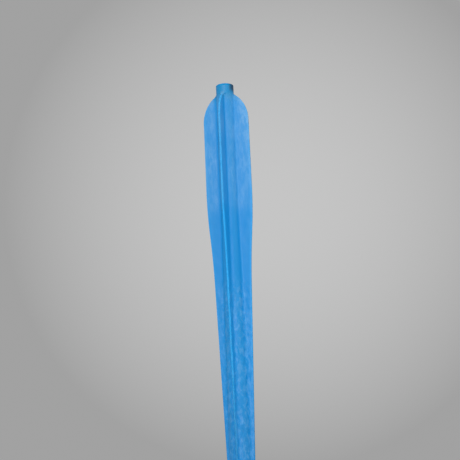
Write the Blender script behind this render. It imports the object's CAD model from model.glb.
"""Dresses the periodontal probe: moulded vaned handle, metal fittings and screw-in measuring tip."""

import logging
import math
from dataclasses import dataclass
from enum import Enum

import bpy
import numpy as np
from mathutils import Matrix, Vector, noise


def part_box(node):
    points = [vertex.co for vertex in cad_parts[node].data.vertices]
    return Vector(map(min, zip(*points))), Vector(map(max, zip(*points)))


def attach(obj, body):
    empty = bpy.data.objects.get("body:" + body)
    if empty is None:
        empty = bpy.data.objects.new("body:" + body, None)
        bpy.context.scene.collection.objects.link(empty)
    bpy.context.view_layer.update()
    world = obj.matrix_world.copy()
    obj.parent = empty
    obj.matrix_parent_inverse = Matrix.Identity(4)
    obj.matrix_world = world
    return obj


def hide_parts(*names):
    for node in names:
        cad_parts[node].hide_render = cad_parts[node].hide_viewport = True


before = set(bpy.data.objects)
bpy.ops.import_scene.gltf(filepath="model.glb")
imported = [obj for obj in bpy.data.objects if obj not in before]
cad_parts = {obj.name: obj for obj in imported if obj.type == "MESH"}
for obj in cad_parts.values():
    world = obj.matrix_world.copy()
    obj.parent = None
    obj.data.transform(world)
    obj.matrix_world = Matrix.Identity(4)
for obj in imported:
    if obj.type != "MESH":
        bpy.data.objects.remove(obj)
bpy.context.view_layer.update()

MM = 0.001
QUARTER = math.pi / 2
LOG = logging.getLogger("probe")
Colour = tuple[float, float, float]
Scale = tuple[float, float, float]
Row = tuple[float, float, float, float]
Quad = tuple[int, int, int, int]


# ---------------------------------------------------------------- shared values


def in_mm(metres: float) -> float:
    """A length from the frame in millimetres, to a ten-thousandth."""
    return round(metres / MM, 4)


class Zone(Enum):
    """Areas of the moulding that carry their own mask."""

    CREST = "crest"
    THIN = "thin"
    FROSTED = "frosted"
    CLOUDY = "cloudy"


@dataclass(frozen=True)
class Ramp:
    """Rise from 0 at low to 1 at high, or fall where low is the larger."""

    low: float
    high: float

    def straight(self, value: float) -> float:
        """Share of the way from low to high, kept within 0..1."""
        return min(max((value - self.low) / (self.high - self.low), 0.0), 1.0)

    def smooth(self, value: float) -> float:
        """The same share, easing in and out."""
        share = self.straight(value)
        return share * share * (3.0 - 2.0 * share)


@dataclass(frozen=True)
class Pattern:
    """Recipe of a noise: its cycles per metre along x, y and z, and its character."""

    per_metre: Scale
    detail: float = 2.0
    roughness: float = 0.5
    distortion: float = 0.0


# ---------------------------------------------------------------- shader expressions


class Term:
    """One shader socket that takes part in Python arithmetic; each operator adds a Math node."""

    def __init__(self, graph: "Graph", socket: bpy.types.NodeSocket) -> None:
        """Wrap a socket of a graph."""
        self.graph = graph
        self.socket = socket

    def maths(self, operation: str, *values: "Term | float") -> "Term":
        """Add one Math node.

        Args:
            operation: the node's operation, in capitals.
            values: its inputs, in order.

        Returns:
            The result as a new term.
        """
        return self.graph.node("ShaderNodeMath", {"operation": operation}, dict(enumerate(values)))

    def __add__(self, other: "Term | float") -> "Term":
        """self + other."""
        return self.maths("ADD", self, other)

    __radd__ = __add__

    def __mul__(self, other: "Term | float") -> "Term":
        """self * other."""
        return self.maths("MULTIPLY", self, other)

    __rmul__ = __mul__

    def __sub__(self, other: "Term | float") -> "Term":
        """self - other."""
        return self.maths("SUBTRACT", self, other)

    def __rsub__(self, other: "Term | float") -> "Term":
        """other - self."""
        return self.maths("SUBTRACT", other, self)

    def clamp(self) -> "Term":
        """Limit the value to 0..1."""
        return self.graph.node("ShaderNodeClamp", {}, {"Value": self})

    def at_least(self, lowest: float) -> "Term":
        """Keep the value from falling below a limit."""
        return self.maths("MAXIMUM", self, lowest)

    def step(self, ramp: Ramp) -> "Term":
        """Follow a ramp smoothly.

        Args:
            ramp: where the value is 0 and where it is 1.

        Returns:
            The share of the way, easing in and out.
        """
        low, high = sorted((ramp.low, ramp.high))
        ends = (0.0, 1.0) if ramp.low < ramp.high else (1.0, 0.0)
        inputs = {"Value": self, "From Min": low, "From Max": high, "To Min": ends[0], "To Max": ends[1]}
        return self.graph.node("ShaderNodeMapRange", {"interpolation_type": "SMOOTHSTEP"}, inputs)


class Graph:
    """Node tree of one material or world, built from expressions."""

    def __init__(self, owner: bpy.types.Material | bpy.types.World) -> None:
        """Empty the owner's node tree and start from its coordinates.

        Args:
            owner: the material or world whose nodes are built.
        """
        owner.use_nodes = True
        self.owner = owner
        self.tree = owner.node_tree
        self.tree.nodes.clear()
        place = "Object" if isinstance(owner, bpy.types.Material) else "Generated"
        self.place = self.node("ShaderNodeTexCoord", {}, {}, place)

    def node(self, kind: str, settings: dict, inputs: dict, output: int | str = 0) -> Term:
        """Make any node: its settings first, then the values or links of its sockets.

        Args:
            kind: type of the node.
            settings: attributes of the node, such as a Math node's operation.
            inputs: socket name or number to a value or a term.
            output: name or number of the socket to return.

        Returns:
            The chosen output as a term.
        """
        made = self.tree.nodes.new(kind)
        for name, value in settings.items():
            setattr(made, name, value)
        for name, value in inputs.items():
            if isinstance(value, Term):
                self.tree.links.new(value.socket, made.inputs[name])
            else:
                made.inputs[name].default_value = value
        return Term(self, made.outputs[output] if made.outputs else None)

    def stretched(self, per_metre: Scale) -> Term:
        """Object coordinates scaled along each axis, in cycles per metre."""
        return self.node("ShaderNodeVectorMath", {"operation": "MULTIPLY"}, {0: self.place, 1: per_metre})

    def noise(self, pattern: Pattern) -> Term:
        """Noise over the object, 0..1.

        Args:
            pattern: recipe of the noise.

        Returns:
            Its value as a term.
        """
        inputs = {"Vector": self.stretched(pattern.per_metre), "Scale": 1.0, "Detail": pattern.detail,
                  "Roughness": pattern.roughness, "Distortion": pattern.distortion}
        return self.node("ShaderNodeTexNoise", {}, inputs, "Fac")

    def speckle(self, per_metre: float, radius: float) -> Term:
        """Small round spots scattered over the object.

        Args:
            per_metre: spots in a metre.
            radius: radius of a spot, as a share of the usual distance between spots.

        Returns:
            1 within half the radius of a spot, falling to 0 at its radius.
        """
        inputs = {"Vector": self.stretched((per_metre,) * 3), "Scale": 1.0}
        away = self.node("ShaderNodeTexVoronoi", {}, inputs, "Distance")
        return away.step(Ramp(radius, radius * 0.5))

    def axis(self, letter: str) -> Term:
        """One object coordinate, in metres."""
        return self.node("ShaderNodeSeparateXYZ", {}, {0: self.place}, letter)

    def painted(self, zone: Zone) -> Term:
        """The mask of a zone, stored on the mesh; 0 on a mesh that has none."""
        return self.node("ShaderNodeAttribute", {"attribute_name": zone.value}, {}, "Fac")

    def mix(self, factor: Term | float, first: Term | Colour, second: Term | Colour) -> Term:
        """Mix two colours.

        Args:
            factor: 0 for the first colour, 1 for the second.
            first: a colour or the term of one.
            second: a colour or the term of one.

        Returns:
            The mixed colour.
        """
        ends = [value if isinstance(value, Term) else (*value, 1.0) for value in (first, second)]
        inputs = {0: factor, 6: ends[0], 7: ends[1]}
        return self.node("ShaderNodeMix", {"data_type": "RGBA"}, inputs, 2)

    def bump(self, height: Term, distance: float, strength: float = 1.0) -> Term:
        """Turn a height field into a normal.

        Args:
            height: the height field.
            distance: what a height of 1 stands for, in metres.
            strength: how much of the bump is felt.

        Returns:
            The bent normal.
        """
        inputs = {"Height": height, "Distance": distance, "Strength": strength}
        return self.node("ShaderNodeBump", {}, inputs, "Normal")

    def surface(self, colour: Term, roughness: Term, normal: Term,
                **constants: float | Term) -> bpy.types.Material:
        """Close the graph with a Principled shader.

        Args:
            colour: base colour.
            roughness: roughness.
            normal: normal from a bump.
            constants: further sockets, with underscores for spaces.

        Returns:
            The finished material.
        """
        inputs = {"Base Color": colour, "Roughness": roughness, "Normal": normal}
        inputs.update({name.replace("_", " "): value for name, value in constants.items()})
        shader = self.node("ShaderNodeBsdfPrincipled", {}, inputs)
        self.node("ShaderNodeOutputMaterial", {}, {"Surface": shader})
        return self.owner


# ---------------------------------------------------------------- finishes


@dataclass(frozen=True)
class MouldedPlastic:
    """Clouded blue moulding: frosty smears on the vanes, flow mottling towards the nose.

    Light carried inside the thin, slightly translucent vanes shows as a faint blue glow. A share
    says how far one colour goes over to the next. Places on the object are in metres.
    """

    name: str = "blue_moulding"
    body: Colour = (0.0020, 0.275, 0.620)
    thin: Colour = (0.0015, 0.230, 0.545)
    glow: Colour = (0.0, 0.055, 0.165)
    unlit: Colour = (0.0, 0.0, 0.0)

    edge: Colour = (0.0080, 0.450, 0.980)
    edge_share: float = 0.85
    edge_loss: float = 0.35
    edge_fades: Ramp = Ramp(-0.045, -0.075)

    nose: Colour = (0.0015, 0.170, 0.430)
    nose_share: float = 0.55
    nose_starts: Ramp = Ramp(-0.064, -0.092)

    frost: Colour = (0.220, 0.440, 0.660)
    smears: Pattern = Pattern((1500.0, 1500.0, 400.0), 3.0, 0.6, 0.4)
    smear_ramp: Ramp = Ramp(0.42, 0.60)
    drifts: Pattern = Pattern((620.0, 620.0, 210.0))
    drift_ramp: Ramp = Ramp(0.40, 0.60)
    grains: Pattern = Pattern((3600.0, 3600.0, 2000.0), 2.0, 0.6)
    grain_ramp: Ramp = Ramp(0.34, 0.66)
    even_haze: float = 0.40
    smeared_haze: float = 0.40
    drifted_haze: float = 0.20
    haze_grain: float = 0.25

    fleck: Colour = (0.02, 0.14, 0.36)
    flows: Pattern = Pattern((1150.0, 1150.0, 600.0), 3.0, 0.65, 0.3)
    pale_ramp: Ramp = Ramp(0.47, 0.63)
    pale_share: float = 0.26
    pale_grain: float = 0.20
    dark_ramp: Ramp = Ramp(0.49, 0.40)
    dark_share: float = 0.12
    flecks_per_metre: float = 420.0
    fleck_radius: float = 0.11
    fleck_share: float = 0.5

    smudge: Colour = (0.003, 0.030, 0.070)
    smudge_share: float = 0.88
    smudge_side: Ramp = Ramp(0.0012, 0.0021)
    smudge_height: Ramp = Ramp(-0.0002, 0.0013)

    peels: Pattern = Pattern((1400.0, 1400.0, 1400.0))
    peel_height: float = 0.15
    frosted_height: float = 0.25
    flow_height: float = 1.2
    relief: float = 0.00004
    relief_strength: float = 0.8

    roughness: float = 0.44
    frosted_roughness: float = 0.20
    grain_roughness: float = 0.05
    shine: float = 0.40
    refraction: float = 1.49

    def tint(self, g: Graph, thin: Term, crest: Term) -> Term:
        """Clean colour of the plastic, before frost and flow marks.

        Args:
            g: the material's graph.
            thin: mask of the vanes' sides and valleys.
            crest: mask of the crests.

        Returns:
            The colour.
        """
        edge = (self.edge_share - self.edge_loss * g.axis("Z").step(self.edge_fades)) * crest
        colour = g.mix(thin, self.body, self.thin)
        colour = g.mix(edge, colour, self.edge)
        return g.mix(self.nose_share * g.axis("Z").step(self.nose_starts), colour, self.nose)

    def haze(self, g: Graph, frosted: Term, grain: Term) -> Term:
        """How frosty each place is.

        Args:
            g: the material's graph.
            frosted: mask of the frosted skin.
            grain: fine grain over the skin.

        Returns:
            The share of frost.
        """
        smear = g.noise(self.smears).step(self.smear_ramp)
        drift = g.noise(self.drifts).step(self.drift_ramp)
        cover = self.even_haze + self.smeared_haze * smear + self.drifted_haze * drift
        return frosted * cover * (1.0 - self.haze_grain + self.haze_grain * grain)

    def build(self) -> bpy.types.Material:
        """Make the finish.

        Returns:
            The material.
        """
        g = Graph(bpy.data.materials.new(self.name))
        frosted, cloudy = g.painted(Zone.FROSTED), g.painted(Zone.CLOUDY)
        thin, crest = g.painted(Zone.THIN), g.painted(Zone.CREST)
        grain = g.noise(self.grains).step(self.grain_ramp)
        flow = g.noise(self.flows)
        dark = flow.step(self.dark_ramp) * cloudy
        pale = self.pale_share * (flow.step(self.pale_ramp) * cloudy)
        pale = pale * (1.0 - self.pale_grain + self.pale_grain * grain)
        flecks = g.speckle(self.flecks_per_metre, self.fleck_radius)
        smudged = g.axis("X").step(self.smudge_side) * g.axis("Z").step(self.smudge_height)

        colour = self.tint(g, thin, crest)
        colour = g.mix(self.dark_share * dark, colour, self.fleck)
        colour = g.mix((self.haze(g, frosted, grain) + pale).clamp(), colour, self.frost)
        colour = g.mix(self.fleck_share * flecks * cloudy, colour, self.fleck)
        colour = g.mix(self.smudge_share * smudged, colour, self.smudge)

        height = g.noise(self.peels) * (self.peel_height + self.frosted_height * frosted)
        height = height + flow * self.flow_height * cloudy + grain * self.frosted_height * frosted
        roughness = self.roughness + self.frosted_roughness * frosted
        roughness = roughness + self.grain_roughness * grain - self.grain_roughness * dark
        return g.surface(colour, roughness, g.bump(height, self.relief, self.relief_strength),
                         IOR=self.refraction, Specular_IOR_Level=self.shine,
                         Emission_Color=g.mix(thin, self.unlit, self.glow), Emission_Strength=1.0)


@dataclass(frozen=True)
class TurnedMetal:
    """Metal with fine turning marks round the Z axis."""

    name: str
    colour: Colour
    stain: Colour
    roughness: float = 0.28
    marks: Pattern = Pattern((30.0, 30.0, 16000.0), 2.0, 0.7)
    mark_height: float = 0.000001
    stained_marks: Ramp = Ramp(0.45, 0.7)
    stained_mark_share: float = 0.25
    rough_marks: Ramp = Ramp(0.4, 0.7)
    mark_roughness: float = 0.10
    clouds: Pattern = Pattern((420.0, 420.0, 420.0), 3.0, 0.6)
    cloud_ramp: Ramp = Ramp(0.35, 0.75)
    cloud_share: float = 0.55
    cloud_roughness: float = 0.12

    def build(self) -> bpy.types.Material:
        """Make the finish.

        Returns:
            The material.
        """
        g = Graph(bpy.data.materials.new(self.name))
        marks = g.noise(self.marks)
        cloud = g.noise(self.clouds).step(self.cloud_ramp)
        stained = self.cloud_share * cloud + self.stained_mark_share * marks.step(self.stained_marks)
        worn = self.cloud_roughness * cloud + self.mark_roughness * marks.step(self.rough_marks)
        colour = g.mix(stained, self.colour, self.stain)
        return g.surface(colour, self.roughness + worn, g.bump(marks, self.mark_height), Metallic=1.0)


@dataclass(frozen=True)
class PolishedSteel:
    """Bright steel with faint lengthwise polishing lines and handling haze."""

    name: str
    colour: Colour = (0.66, 0.67, 0.68)
    haze: Colour = (0.50, 0.51, 0.53)
    roughness: float = 0.16
    lines: Pattern = Pattern((9000.0, 9000.0, 300.0), 2.0, 0.6)
    line_height: float = 0.0000006
    line_roughness: float = 0.05
    hazes: Pattern = Pattern((500.0, 500.0, 260.0), 3.0, 0.6)
    haze_ramp: Ramp = Ramp(0.42, 0.72)
    haze_share: float = 0.6
    haze_roughness: float = 0.14

    def build(self) -> bpy.types.Material:
        """Make the finish.

        Returns:
            The material.
        """
        g = Graph(bpy.data.materials.new(self.name))
        lines = g.noise(self.lines)
        haze = g.noise(self.hazes).step(self.haze_ramp)
        colour = g.mix(self.haze_share * haze, self.colour, self.haze)
        roughness = self.roughness + self.haze_roughness * haze + self.line_roughness * lines
        return g.surface(colour, roughness, g.bump(lines, self.line_height), Metallic=1.0)


@dataclass(frozen=True)
class Elastomer:
    """Silicone or rubber: matt, with a fine mould grain and a little bloom."""

    name: str
    colour: Colour
    bloom: Colour
    roughness: float = 0.62
    refraction: float = 1.42
    grains: Pattern = Pattern((6000.0, 6000.0, 6000.0))
    grain_height: float = 0.00001
    blooms: Pattern = Pattern((900.0, 900.0, 900.0), 3.0, 0.6)
    bloom_ramp: Ramp = Ramp(0.45, 0.7)
    bloom_share: float = 0.5
    bloom_roughness: float = 0.15

    def build(self) -> bpy.types.Material:
        """Make the finish.

        Returns:
            The material.
        """
        g = Graph(bpy.data.materials.new(self.name))
        bloom = g.noise(self.blooms).step(self.bloom_ramp)
        colour = g.mix(self.bloom_share * bloom, self.colour, self.bloom)
        roughness = self.roughness + self.bloom_roughness * bloom
        return g.surface(colour, roughness, g.bump(g.noise(self.grains), self.grain_height),
                         IOR=self.refraction)


@dataclass(frozen=True)
class ColourFill:
    """Dark fill of the depth bands, slightly worn."""

    name: str = "band_fill"
    colour: Colour = (0.012, 0.012, 0.014)
    worn: Colour = (0.060, 0.060, 0.064)
    roughness: float = 0.45
    refraction: float = 1.5
    wears: Pattern = Pattern((2400.0, 2400.0, 900.0), 3.0, 0.65)
    wear_ramp: Ramp = Ramp(0.50, 0.75)
    wear_height: float = 0.000005
    wear_roughness: float = 0.2

    def build(self) -> bpy.types.Material:
        """Make the finish.

        Returns:
            The material.
        """
        g = Graph(bpy.data.materials.new(self.name))
        wear = g.noise(self.wears).step(self.wear_ramp)
        colour = g.mix(wear, self.colour, self.worn)
        roughness = self.roughness + self.wear_roughness * wear
        return g.surface(colour, roughness, g.bump(wear, self.wear_height), IOR=self.refraction)


@dataclass(frozen=True)
class FloorPaper:
    """Pale plain paper of the floor."""

    name: str = "floor_paper"
    colour: Colour = (0.60, 0.60, 0.60)
    pale: Colour = (0.66, 0.66, 0.66)
    roughness: float = 0.7
    tones: Pattern = Pattern((3.0, 3.0, 3.0))
    tone_height: float = 0.0001
    tone_roughness: float = 0.1

    def build(self) -> bpy.types.Material:
        """Make the finish.

        Returns:
            The material.
        """
        g = Graph(bpy.data.materials.new(self.name))
        tone = g.noise(self.tones)
        roughness = tone * self.tone_roughness + self.roughness
        return g.surface(g.mix(tone, self.colour, self.pale), roughness, g.bump(tone, self.tone_height))


# ---------------------------------------------------------------- moulding


@dataclass(frozen=True)
class Frosting:
    """Where the skin is frosted. In millimetres: x and y from the axis, depth down from the neck."""

    even: float = 0.30
    patchy: float = 0.20
    patch_width: float = 2.2
    patch_length: float = 7.0
    ends: Ramp = Ramp(31.0, 26.0)
    right_rim: float = 0.45
    right_rim_side: Ramp = Ramp(2.6, 3.8)
    right_rim_depth: Ramp = Ramp(16.0, 9.0)
    left_wing: float = 0.10
    left_wing_side: Ramp = Ramp(-2.4, -2.8)
    right_wing: float = 0.06
    right_wing_side: Ramp = Ramp(0.8, 1.6)
    right_wing_depth: Ramp = Ramp(46.0, 34.0)
    root_bare: float = 0.9
    right_root_frost: float = 0.6
    root_starts: Ramp = Ramp(2.05, 2.25)
    root_ends: Ramp = Ramp(3.0, 2.6)
    front_bare: float = 0.45
    front_vane: Ramp = Ramp(2.3, 2.8)
    front_depth: Ramp = Ramp(9.0, 16.0)
    neck_frost: float = 0.15
    neck_ends: Ramp = Ramp(-0.5, 1.5)
    knuckle: float = 0.7
    knuckle_front: Ramp = Ramp(-1.95, -2.1)
    knuckle_side: Ramp = Ramp(0.7, 0.3)
    knuckle_top: Ramp = Ramp(-0.5, -0.1)
    knuckle_foot: Ramp = Ramp(0.9, 0.3)

    def cover(self, x: float, y: float, depth: float) -> float:
        """How frosted a place is: most on the upper vanes, less at their roots and below the waist.

        Args:
            x: place to the right of the axis.
            y: place behind the axis.
            depth: place below the neck.

        Returns:
            The frost, 0..1.
        """
        reach = math.hypot(x, y)
        right = self.right_wing_side.smooth(x)
        place = Vector((x / self.patch_width, y / self.patch_width, depth / self.patch_length))
        patch = 0.5 + noise.noise(place)
        rim = self.right_rim * self.right_rim_side.smooth(x) * self.right_rim_depth.smooth(depth)
        frost = (self.even + self.patchy * patch + rim) * self.ends.smooth(depth)
        frost += self.left_wing * self.left_wing_side.smooth(x)
        frost += self.right_wing * right * self.right_wing_depth.smooth(depth)
        bare = self.root_bare - self.right_root_frost * right
        frost *= 1.0 - bare * self.root_starts.smooth(reach) * self.root_ends.smooth(reach)
        frost *= 1.0 - self.front_bare * self.front_vane.smooth(abs(y)) * self.front_depth.smooth(depth)
        frost *= self.neck_frost + (1.0 - self.neck_frost) * self.neck_ends.smooth(depth)
        knuckle = self.knuckle_front.smooth(y) * self.knuckle_foot.smooth(depth)
        knuckle *= self.knuckle_top.smooth(depth) * self.knuckle_side.smooth(abs(x))
        return min(frost + self.knuckle * knuckle, 1.0)


@dataclass(frozen=True)
class Clouding:
    """Where the skin is mottled by the plastic's flow, in millimetres like the frosting."""

    vane_loss: float = 0.55
    vane_reach: Ramp = Ramp(2.5, 3.6)
    starts: Ramp = Ramp(44.0, 50.0)
    ends: Ramp = Ramp(116.5, 113.0)

    def cover(self, x: float, y: float, depth: float) -> float:
        """How mottled a place is: from the waist down, most on the core.

        Args:
            x: place to the right of the axis.
            y: place behind the axis.
            depth: place below the neck.

        Returns:
            The mottling, 0..1.
        """
        on_core = 1.0 - self.vane_loss * self.vane_reach.smooth(math.hypot(x, y))
        return on_core * self.starts.smooth(depth) * self.ends.smooth(depth)


@dataclass(frozen=True)
class FlowMarks:
    """Waves left in the skin by the plastic's flow, and the slight bow of each vane, in millimetres."""

    height: float = 0.05
    cloudy_height: float = 0.16
    swell_width: float = 1.2
    swell_length: float = 2.0
    fine_share: float = 0.5
    fine_width: float = 0.7
    fine_length: float = 1.1
    fine_shift: float = 9.0
    bow: float = 0.07
    bow_length: float = 26.0
    bow_from: float = 2.8
    bow_over: float = 3.0
    lane_gap: float = 7.3
    starts: Ramp = Ramp(3.0, 11.0)
    ends: Ramp = Ramp(112.0, 106.0)

    def fade(self, depth: float) -> float:
        """Strength of the marks at a depth: none at the neck and on the barrel."""
        return self.starts.straight(depth) * self.ends.straight(depth)

    def wave(self, x: float, y: float, z: float, cloudy: float) -> float:
        """Height of the skin's waves at a place.

        Args:
            x: place to the right of the axis.
            y: place behind the axis.
            z: height of the place.
            cloudy: how mottled the skin is there.

        Returns:
            The height, before it fades out towards the ends.
        """
        swell = noise.noise(Vector((x / self.swell_width, y / self.swell_width, z / self.swell_length)))
        fine = noise.noise(Vector((x / self.fine_width + self.fine_shift, y / self.fine_width,
                                   z / self.fine_length)))
        return (swell + self.fine_share * fine) * (self.height + self.cloudy_height * cloudy)

    def sideways(self, x: float, y: float, depth: float) -> np.ndarray:
        """How far a vane is bowed to its side at a place.

        Args:
            x: place to the right of the axis.
            y: place behind the axis.
            depth: place below the neck.

        Returns:
            The offset, before it fades out towards the ends.
        """
        lane = round(math.atan2(y, x) / QUARTER) % 4
        side = np.array((-math.sin(lane * QUARTER), math.cos(lane * QUARTER), 0.0))
        sway = noise.noise(Vector((lane * self.lane_gap, 0.0, depth / self.bow_length)))
        reach = max(0.0, math.hypot(x, y) - self.bow_from) / self.bow_over
        return side * self.bow * sway * reach


@dataclass(frozen=True)
class VanedGrip:
    """The blue moulding: neck, round core and four vanes, as one closed skin with its bore.

    Sizes are in millimetres; depths run down from the plane where the vanes meet the neck. The
    outline of a vane is a list of radius, depth and the radius of the arc that starts there: 0 for
    a straight line, below 0 for a hollow arc. The first five sizes follow the pieces inside it.
    """

    tube_radius: float
    socket_radius: float
    socket_depth: float
    seat_depth: float
    nose_depth: float
    neck_radius: float = 2.1
    neck_top: float = 2.0
    rim_round: float = 0.10
    core: tuple[tuple[float, float], ...] = ((0.0, 2.1), (30.0, 2.16), (81.0, 2.66), (116.0, 2.8))
    seat_radius: float = 2.4
    groove_depths: tuple[float, ...] = (117.6, 118.9, 120.2)
    groove_half: float = 0.42
    groove_cut: float = 0.25
    outline: tuple[tuple[float, float, float], ...] = (
        (2.10, 0.0, 0.0), (3.41, 1.08, 8.35), (5.60, 6.90, 0.0), (5.69, 24.0, 130.0),
        (5.378, 33.0, 0.0), (5.066, 37.0, -203.0), (4.565, 47.0, 0.0), (3.07, 106.0, 0.0),
        (2.70, 113.0, 0.0))
    crest_half: float = 0.25
    crest_round: float = 0.15
    root_half: float = 0.30
    least_side: float = 0.05
    crest_spill: float = 0.2
    web_radius: float = 0.45
    web_growth: float = 0.30
    web_grows: Ramp = Ramp(30.0, 85.0)
    thin_starts: Ramp = Ramp(0.0, 2.5)
    valley_thin: float = 0.8
    rim_shares: tuple[float, ...] = (0.0, 0.3, 1.0)
    rim_gap: float = 0.3
    neck_levels: int = 7
    knuckle_depth: float = 1.2
    knuckle_levels: int = 13
    shoulder_depth: float = 6.9
    shoulder_levels: int = 26
    level_step: float = 0.38
    seat_step: float = 0.001
    sharp_angle: float = 50.0
    frosting: Frosting = Frosting()
    clouding: Clouding = Clouding()
    marks: FlowMarks = FlowMarks()

    @classmethod
    def fitted(cls) -> "VanedGrip":
        """Size the bore and the nose to the tube, socket and ring that sit in and on them.

        Returns:
            The moulding, ready to build.
        """
        tube_end, tube_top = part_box("core_tube")
        socket_top, ring_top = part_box("thread_insert")[1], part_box("nose_ring")[1]
        return cls(tube_radius=in_mm(tube_top.x), socket_radius=in_mm(socket_top.x),
                   socket_depth=in_mm(-tube_end.z), seat_depth=in_mm(-ring_top.z),
                   nose_depth=in_mm(-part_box("vaned_grip")[0].z))

    def vane_radius(self, depth: float) -> float:
        """Distance of a vane's crest from the axis.

        Args:
            depth: place below the neck.

        Returns:
            The distance, or 0 where there is no vane.
        """
        for start, end in zip(self.outline, self.outline[1:]):
            if start[1] <= depth <= end[1]:
                if start[2]:
                    return self.arc(start, end, depth)
                return start[0] + (end[0] - start[0]) * (depth - start[1]) / (end[1] - start[1])
        return 0.0

    @staticmethod
    def arc(start: tuple[float, float, float], end: tuple[float, float, float], depth: float) -> float:
        """Radius on the arc between two outline points.

        Args:
            start: outline point where the arc starts, with the arc's radius.
            end: outline point where it ends.
            depth: place below the neck.

        Returns:
            The distance from the axis.
        """
        r0, d0, curve = start
        r1, d1, _ = end
        half = math.hypot(r1 - r0, d1 - d0) / 2
        rise = math.sqrt(curve * curve - half * half) * math.copysign(1.0, curve)
        across = Vector((-(d1 - d0), r1 - r0)).normalized()
        centre_r = (r0 + r1) / 2 + across.x * rise
        centre_d = (d0 + d1) / 2 + across.y * rise
        offset = math.sqrt(max(curve * curve - (depth - centre_d) ** 2, 0.0))
        return centre_r + math.copysign(offset, curve)

    def core_radius(self, depth: float) -> float:
        """Radius of the neck, round core, barrel and nose.

        Args:
            depth: place below the neck.

        Returns:
            The radius, with the neck's rounded rim and the barrel's grooves.
        """
        if depth <= 0.0:
            edge = min(max((depth + self.neck_top) / self.rim_round, 0.0), 1.0)
            return self.neck_radius - self.rim_round * (1.0 - math.sqrt(1.0 - (1.0 - edge) ** 2))
        if depth > self.seat_depth:
            return self.seat_radius
        radius = float(np.interp(depth, *zip(*self.core)))
        for groove in self.groove_depths:
            off = abs(depth - groove) / self.groove_half
            if off < 1.0:
                radius -= self.groove_cut * math.cos(off * QUARTER)
        return radius

    def crest_rows(self, reach: float) -> list[Row]:
        """Half of a crest, from its middle line to the top of the vane's side.

        Args:
            reach: distance of the crest from the axis.

        Returns:
            Rows of x, y, crest mask and thin mask.
        """
        rows = [(reach, 0.0, 1.0, 0.0), (reach, 0.5 * self.crest_half, 1.0, 0.0)]
        masks = ((1.0, 0.0), (0.9, 0.3), (0.5, 0.7), (0.25, 1.0))
        turn_at = self.crest_half - self.crest_round
        for angle, (crest, thin) in zip(np.linspace(0.0, QUARTER, len(masks)), masks):
            rows.append((reach - self.crest_round * (1 - math.cos(angle)),
                         turn_at + self.crest_round * math.sin(angle), crest, thin))
        return rows

    def side_rows(self, top: float, foot: float, steps: int = 7) -> list[Row]:
        """The straight side of a vane.

        Args:
            top: distance of its top from the axis.
            foot: distance of its foot from the axis.
            steps: how many rows to make.

        Returns:
            Rows of x, y, crest mask and thin mask.
        """
        return [(top + (foot - top) * share,
                 self.crest_half + (self.root_half - self.crest_half) * share,
                 max(0.0, self.crest_spill - share), 1.0) for share in np.linspace(0.0, 1.0, steps + 1)[1:]]

    def valley_rows(self, foot: float, core: float, web: float, steps: tuple[int, int] = (5, 4)) -> list[Row]:
        """The fillet at a vane's foot and the core up to the bottom of the valley.

        Args:
            foot: distance of the vane's foot from the axis.
            core: radius of the core.
            web: radius of the fillet.
            steps: how many rows to make on the fillet and on the core.

        Returns:
            Rows of x, y, crest mask and thin mask.
        """
        centre = (foot, self.root_half + web)
        facing = math.atan2(-centre[1], -centre[0])
        rows = [(centre[0] + web * math.cos(angle), centre[1] + web * math.sin(angle), 0.0, 1.0)
                for angle in np.linspace(-QUARTER, facing, steps[0] + 1)[1:]]
        lands = math.atan2(rows[-1][1], rows[-1][0])
        return rows + [(core * math.cos(angle), core * math.sin(angle), 0.0, self.valley_thin)
                       for angle in np.linspace(lands, QUARTER / 2, steps[1] + 1)[1:]]

    def half_section(self, vane: float, core: float, web: float) -> np.ndarray:
        """Section from the middle of a crest to the bottom of the valley beside it.

        Args:
            vane: distance of the crest from the axis.
            core: radius of the core.
            web: radius of the fillet between vane and core.

        Returns:
            Rows of x, y, crest mask and thin mask. A vane too low for its fillets sinks into the core.
        """
        foot = math.sqrt((core + web) ** 2 - (self.root_half + web) ** 2)
        least = foot + self.crest_round + self.least_side
        reach = max(vane, least)
        rows = np.array(self.crest_rows(reach) + self.side_rows(reach - self.crest_round, foot)
                        + self.valley_rows(foot, core, web))
        if vane < least:
            turns = np.linspace(0.0, QUARTER / 2, len(rows))
            plain = np.stack([core * np.cos(turns), core * np.sin(turns)], 1)
            grown = max(0.0, (vane - core) / (least - core))
            rows[:, :2] = plain + (rows[:, :2] - plain) * grown
            rows[:, 2:] *= grown
        return rows

    def section(self, depth: float) -> np.ndarray:
        """Whole closed cross-section, counter-clockwise.

        Args:
            depth: place below the neck.

        Returns:
            Rows of x, y, z, crest mask and thin mask.
        """
        web = self.web_radius + self.web_growth * self.web_grows.smooth(depth)
        half = self.half_section(self.vane_radius(depth), self.core_radius(depth), web)
        mirrored = half[::-1][:, [1, 0, 2, 3]]
        quarter = np.vstack([half[:-1], mirrored[:-1]])
        quarter[:, 3] *= self.thin_starts.smooth(depth)
        loops = []
        for turn in range(4):
            cosine, sine = math.cos(turn * QUARTER), math.sin(turn * QUARTER)
            spun = quarter[:, :2] @ np.array([[cosine, sine], [-sine, cosine]])
            loops.append(np.column_stack([spun, np.full(len(spun), -depth), quarter[:, 2:]]))
        return np.vstack(loops)

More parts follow.
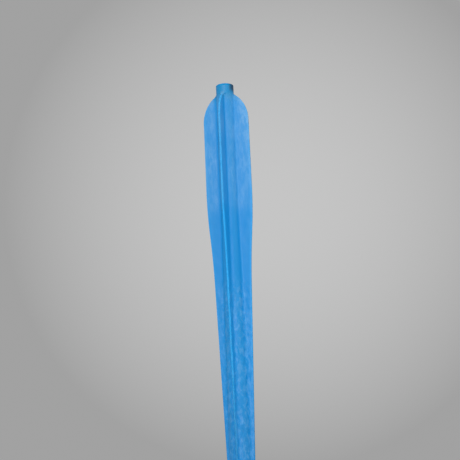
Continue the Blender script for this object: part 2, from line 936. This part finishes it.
    def depths(self) -> list[float]:
        """Depths of the cross-sections: close together at the rim, knuckles, shoulders and steps.

        Returns:
            The depths, from the top of the neck down to the nose.
        """
        rim = [-self.neck_top + self.rim_round * share for share in self.rim_shares]
        neck = np.linspace(-self.neck_top + self.rim_gap, 0.0, self.neck_levels)
        knuckle = np.linspace(0.0, self.knuckle_depth, self.knuckle_levels)[1:]
        shoulder = np.linspace(self.knuckle_depth, self.shoulder_depth, self.shoulder_levels)[1:]
        count = round((self.seat_depth - self.shoulder_depth) / self.level_step)
        long_run = np.linspace(self.shoulder_depth, self.seat_depth, count)[1:]
        return [*rim, *neck, *knuckle, *shoulder, *long_run, self.seat_depth + self.seat_step,
                self.nose_depth]

    @staticmethod
    def outward(rings: np.ndarray) -> np.ndarray:
        """Unit normals of a grid of rings, pointing away from the axis.

        Args:
            rings: points, ring by ring.

        Returns:
            One normal for each point.
        """
        across = np.roll(rings, -1, 1) - np.roll(rings, 1, 1)
        normals = np.cross(np.gradient(rings, axis=0), across)
        normals /= np.linalg.norm(normals, axis=2, keepdims=True) + np.finfo(float).eps
        return normals * np.sign((normals[..., :2] * rings[..., :2]).sum(2).mean())

    def ripple(self, rings: np.ndarray) -> np.ndarray:
        """Flow marks and bowing of the vanes.

        Args:
            rings: points of the plain skin, ring by ring.

        Returns:
            The offset of each point.
        """
        normals = self.outward(rings)
        offset = np.zeros_like(rings)
        for level, ring in enumerate(rings):
            depth = -ring[0, 2]
            fade = self.marks.fade(depth)
            for index, (x, y, z) in enumerate(ring):
                wave = self.marks.wave(x, y, z, self.clouding.cover(x, y, depth))
                moved = normals[level, index] * wave + self.marks.sideways(x, y, depth)
                offset[level, index] = moved * fade
        return offset

    def skin_grid(self) -> np.ndarray:
        """Outer skin with its flow marks; the crests stay plain and nothing passes the widest vane.

        Returns:
            Rows of x, y, z, crest mask and thin mask, ring by ring.
        """
        grid = np.array([self.section(depth) for depth in self.depths()])
        grid[..., :3] += self.ripple(grid[..., :3]) * (1.0 - grid[..., 3:4])
        widest = max(radius for radius, _, _ in self.outline)
        grid[..., :2] = grid[..., :2].clip(-widest, widest)
        return grid

    def bore_rings(self, turns: np.ndarray) -> list[np.ndarray]:
        """Rings of the bore, from the nose up to the neck.

        Args:
            turns: angle of each point round the axis.

        Returns:
            The points of each ring.
        """
        sizes = ((self.socket_radius, self.nose_depth), (self.socket_radius, self.socket_depth),
                 (self.tube_radius, self.socket_depth), (self.tube_radius, -self.neck_top))
        return [np.column_stack([radius * np.cos(turns), radius * np.sin(turns),
                                 np.full(len(turns), -depth)]) for radius, depth in sizes]

    @staticmethod
    def ring_quads(levels: int, count: int) -> list[Quad]:
        """Faces between neighbouring rings; the last ring joins the first.

        Args:
            levels: number of rings.
            count: points in a ring.

        Returns:
            The point numbers of each face.
        """
        quads = []
        for level in range(levels):
            here, below = level * count, (level + 1) % levels * count
            for index in range(count):
                beside = (index + 1) % count
                quads.append((here + index, below + index, below + beside, here + beside))
        return quads

    def paint(self, mesh: bpy.types.Mesh, grid: np.ndarray) -> None:
        """Store the masks on the skin; the bore has none.

        Args:
            mesh: the skin's mesh.
            grid: the outer skin's rows.
        """
        rows = grid.reshape(-1, grid.shape[2])
        places = [(x, y, -z) for x, y, z in rows[:, :3]]
        masks = {Zone.CREST: rows[:, 3], Zone.THIN: rows[:, 4],
                 Zone.FROSTED: [self.frosting.cover(*place) for place in places],
                 Zone.CLOUDY: [self.clouding.cover(*place) for place in places]}
        unpainted = np.zeros(len(mesh.vertices) - len(rows))
        for zone, values in masks.items():
            layer = mesh.attributes.new(zone.value, "FLOAT", "POINT")
            layer.data.foreach_set("value", np.concatenate([values, unpainted]))

    def build(self, finish: MouldedPlastic) -> None:
        """Make the skin, dress it and put it in the moulding's place.

        Args:
            finish: the moulding's finish.
        """
        grid = self.skin_grid()
        turns = np.arctan2(grid[0, :, 1], grid[0, :, 0])
        rings = [*grid[..., :3], *self.bore_rings(turns)]
        mesh = bpy.data.meshes.new("grip_skin")
        points = np.vstack(rings) * MM
        mesh.from_pydata(points.tolist(), [], self.ring_quads(len(rings), len(turns)))
        self.paint(mesh, grid)
        mesh.materials.append(finish.build())
        mesh.shade_smooth()
        mesh.set_sharp_from_angle(angle=math.radians(self.sharp_angle))
        skin = bpy.data.objects.new("grip_skin", mesh)
        bpy.context.scene.collection.objects.link(skin)
        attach(skin, "handle")
        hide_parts("vaned_grip")
        LOG.info("grip_skin: %d faces", len(mesh.polygons))


# ---------------------------------------------------------------- fittings


def give(node: str, material: bpy.types.Material, sharp_angle: float = 35.0) -> None:
    """Dress a CAD node that keeps its own shape.

    Args:
        node: name of the node.
        material: what it is made of.
        sharp_angle: angle in degrees from which an edge between faces stays sharp.
    """
    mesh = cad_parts[node].data
    mesh.materials.clear()
    mesh.materials.append(material)
    mesh.shade_smooth()
    mesh.set_sharp_from_angle(angle=math.radians(sharp_angle))
    LOG.info("%s: %d faces, %s", node, len(mesh.polygons), material.name)


@dataclass(frozen=True)
class ButtClosure:
    """Plug in the neck and the seal on its spigot."""

    plug: MouldedPlastic = MouldedPlastic(name="plug_plastic", roughness=0.62, shine=0.2)
    seal: Elastomer = Elastomer("plug_seal_rubber", (0.02, 0.02, 0.022), (0.06, 0.06, 0.062))

    def build(self) -> None:
        """Dress the plug and its seal."""
        give("neck_plug", self.plug.build())
        give("plug_seal", self.seal.build())


@dataclass(frozen=True)
class NoseFittings:
    """Metal parts in and round the handle's nose, and the washer in front of it."""

    steel: Colour = (0.60, 0.61, 0.62)
    steel_stain: Colour = (0.46, 0.47, 0.49)
    brass: Colour = (0.78, 0.56, 0.24)
    brass_stain: Colour = (0.58, 0.38, 0.14)
    washer: Elastomer = Elastomer("washer_rubber", (0.50, 0.52, 0.54), (0.62, 0.64, 0.66))

    def build(self) -> None:
        """Dress the tube, ring, cross pin, socket and washer."""
        give("core_tube", PolishedSteel("tube_steel", roughness=0.3).build())
        give("nose_ring", TurnedMetal("ring_steel", self.steel, self.steel_stain).build())
        give("insert_pin", TurnedMetal("pin_steel", self.steel, self.steel_stain, 0.35).build())
        give("thread_insert", TurnedMetal("socket_brass", self.brass, self.brass_stain, 0.3).build())
        give("nose_seal", self.washer.build())


@dataclass(frozen=True)
class MeasuringTip:
    """Threaded base, bent shank and depth bands."""

    base: TurnedMetal = TurnedMetal("base_steel", (0.62, 0.63, 0.64), (0.48, 0.49, 0.51), 0.24)
    shank: PolishedSteel = PolishedSteel("shank_steel")
    bands: ColourFill = ColourFill()

    def build(self) -> None:
        """Dress the tip's pieces."""
        give("tip_base", self.base.build())
        give("probe_shank", self.shank.build())
        give("depth_bands", self.bands.build())


# ---------------------------------------------------------------- studio


def facing(azimuth: float, elevation: float) -> Vector:
    """Direction from the object towards a viewer or lamp.

    Args:
        azimuth: angle to the right of the front, in degrees.
        elevation: angle above the level, in degrees.

    Returns:
        The unit vector.
    """
    a, e = math.radians(azimuth), math.radians(elevation)
    return Vector((math.sin(a) * math.cos(e), -math.cos(a) * math.cos(e), math.sin(e)))


@dataclass(frozen=True)
class Lamp:
    """Soft square lamp that faces the handle: angles in degrees, sizes in metres, power in watts."""

    name: str
    azimuth: float
    elevation: float
    power: float
    distance: float = 1.6
    size: float = 0.9
    aim_height: float = -0.05

    def build(self) -> None:
        """Hang the lamp."""
        data = bpy.data.lights.new(self.name, "AREA")
        data.shape = "SQUARE"
        data.size = self.size
        data.energy = self.power
        away = facing(self.azimuth, self.elevation)
        place = Matrix.Translation(away * self.distance + Vector((0, 0, self.aim_height)))
        lamp = bpy.data.objects.new(self.name, data)
        lamp.matrix_world = place @ away.to_track_quat("Z", "Y").to_matrix().to_4x4()
        bpy.context.scene.collection.objects.link(lamp)


@dataclass(frozen=True)
class Studio:
    """Camera, lamps, world and floor. Lengths in metres, angles in degrees."""

    azimuth: float = 17.2
    elevation: float = -16.0
    roll: float = -2.55
    distance: float = 2.0
    frame_width: float = 0.1104
    sensor: float = 36.0
    rise: float = 0.0347
    shift: float = -0.00130
    farthest: float = 50.0
    floor_level: float = -1.3
    floor_half: float = 14.0
    floor_paper: FloorPaper = FloorPaper()
    backdrop: float = 0.558
    corner: float = 0.36
    falloff: float = 194.0
    glow_across: float = 0.0048
    glow_up: float = 0.0030
    ambient: float = 0.58
    lamps: tuple[Lamp, ...] = (Lamp("key", 8.0, 22.0, 13.0), Lamp("side", 66.0, 0.0, 2.6),
                               Lamp("back", 197.0, -30.0, 8.0))

    def axes(self) -> tuple[Vector, Vector, Vector]:
        """Right, up and back vectors of the camera.

        Returns:
            The three unit vectors.
        """
        back = facing(self.azimuth, self.elevation)
        level = Vector((0, 0, 1)).cross(back).normalized()
        upright = back.cross(level)
        turn = math.radians(self.roll)
        right = level * math.cos(turn) + upright * math.sin(turn)
        return right, back.cross(right), back

    def camera(self) -> None:
        """Place the camera so that the neck stands high in the frame and the handle runs off below."""
        right, up, back = self.axes()
        low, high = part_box("neck_plug")
        plug_top = Vector(((low.x + high.x) / 2, (low.y + high.y) / 2, high.z))
        aim = plug_top - right * self.shift - up * self.rise
        data = bpy.data.cameras.new("camera")
        data.sensor_width = self.sensor
        data.lens = self.sensor * self.distance / self.frame_width
        data.clip_end = self.farthest
        camera = bpy.data.objects.new("camera", data)
        spin = Matrix((right, up, back)).transposed()
        camera.matrix_world = Matrix.Translation(aim + back * self.distance) @ spin.to_4x4()
        bpy.context.scene.collection.objects.link(camera)
        bpy.context.scene.camera = camera

    def world(self) -> None:
        """Grey surround, lighter behind the handle; plain fill light for matt surfaces.

        Camera, glossy and transmission rays see the grey, so that metal shows it too.
        """
        world = bpy.data.worlds.new("studio")
        bpy.context.scene.world = world
        g = Graph(world)
        right, up, back = self.axes()
        glow = (-back + right * self.glow_across + up * self.glow_up).normalized()
        gap = g.node("ShaderNodeVectorMath", {"operation": "DISTANCE"}, {0: g.place, 1: glow}, "Value")
        shade = (self.backdrop - gap * gap * self.falloff).at_least(self.corner)
        seen = g.node("ShaderNodeBackground", {}, {"Color": shade})
        white = (1.0, 1.0, 1.0, 1.0)
        fill = g.node("ShaderNodeBackground", {}, {"Color": white, "Strength": self.ambient})
        camera, glossy, through = (g.node("ShaderNodeLightPath", {}, {}, f"Is {ray} Ray")
                                   for ray in ("Camera", "Glossy", "Transmission"))
        inputs = {0: (camera + glossy + through).clamp(), 1: fill, 2: seen}
        blend = g.node("ShaderNodeMixShader", {}, inputs)
        g.node("ShaderNodeOutputWorld", {}, {"Surface": blend})

    def floor(self) -> None:
        """Lay the pale floor, well below the hanging instrument."""
        half = self.floor_half
        corners = [(x * half, y * half, self.floor_level) for x, y in ((-1, -1), (1, -1), (1, 1), (-1, 1))]
        mesh = bpy.data.meshes.new("floor")
        mesh.from_pydata(corners, [], [(0, 1, 2, 3)])
        mesh.materials.append(self.floor_paper.build())
        floor = bpy.data.objects.new("floor", mesh)
        bpy.context.scene.collection.objects.link(floor)

    def build(self) -> None:
        """Set up everything round the object."""
        bpy.context.scene.view_settings.view_transform = "Standard"
        self.camera()
        self.world()
        self.floor()
        for lamp in self.lamps:
            lamp.build()
        LOG.info("studio: camera, world, floor and %d lamps", len(self.lamps))


def main() -> None:
    """Build the object and the studio round it."""
    logging.basicConfig(level=logging.INFO, format="%(name)s %(message)s")
    Studio().build()
    VanedGrip.fitted().build(MouldedPlastic())
    ButtClosure().build()
    NoseFittings().build()
    MeasuringTip().build()


if __name__ == "__main__":
    main()
